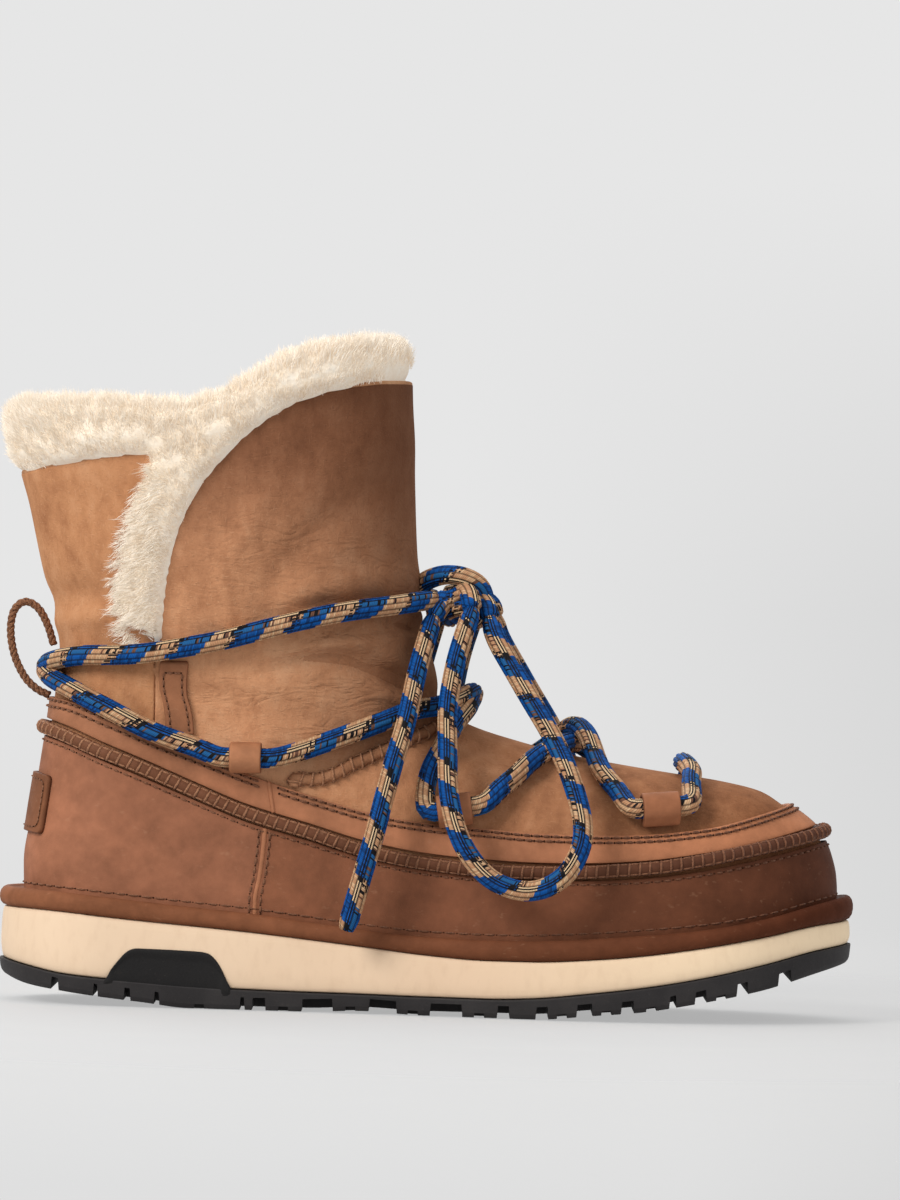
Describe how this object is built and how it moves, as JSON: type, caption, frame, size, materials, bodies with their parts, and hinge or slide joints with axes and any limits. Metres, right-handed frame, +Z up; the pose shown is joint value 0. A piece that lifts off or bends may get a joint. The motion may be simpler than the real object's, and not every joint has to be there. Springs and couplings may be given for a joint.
{
  "type": "ankle boot",
  "caption": "Right suede ankle boot with shearling lining, leather guards, side slits, wrap-around lace tied at the front and a thick lugged sole.",
  "frame": {"origin": "centre of the boot's bounding box in plan, on the standing plane under heel and forefoot", "axes": "+X to the toe, +Z up, -Y to the outer side of this right boot"},
  "size_m": [0.2908, 0.1213, 0.2277],
  "materials": {
    "outsole_rubber": "matt charcoal rubber",
    "midsole_foam": "cream moulded foam, matt",
    "mid_brown_leather": "smooth waxed leather, satin",
    "shearling": "cream shearling",
    "tan_suede": "napped suede, matt",
    "dark_brown_leather": "smooth waxed leather, satin",
    "tan_cord": "twisted tan cord",
    "lace_braid": "round braid in blue, cream, brown and black"
  },
  "bodies": {
    "root": {"outsole": "outsole_rubber", "midsole": "midsole_foam", "welt": "mid_brown_leather", "insole": "shearling", "upper": "tan_suede", "wool_lining": "shearling", "heel_guard": "mid_brown_leather", "toe_guard": "dark_brown_leather", "heel_band": "mid_brown_leather", "toe_band": "dark_brown_leather", "piping": "dark_brown_leather", "vamp_seam": "tan_cord", "slit_tab_outer": "mid_brown_leather", "slit_tab_inner": "mid_brown_leather", "ankle_tab_outer": "mid_brown_leather", "ankle_tab_inner": "mid_brown_leather", "waist_tab_outer": "dark_brown_leather", "waist_tab_inner": "dark_brown_leather", "toe_tab_outer": "dark_brown_leather", "toe_tab_inner": "dark_brown_leather", "pull_loop": "tan_cord", "heel_patch": "mid_brown_leather", "lace": "lace_braid", "lace_knot": "lace_braid", "lace_loop_outer": "lace_braid", "lace_loop_inner": "lace_braid", "lace_end_outer": "lace_braid", "lace_end_inner": "lace_braid"}
  },
  "joints": []
}
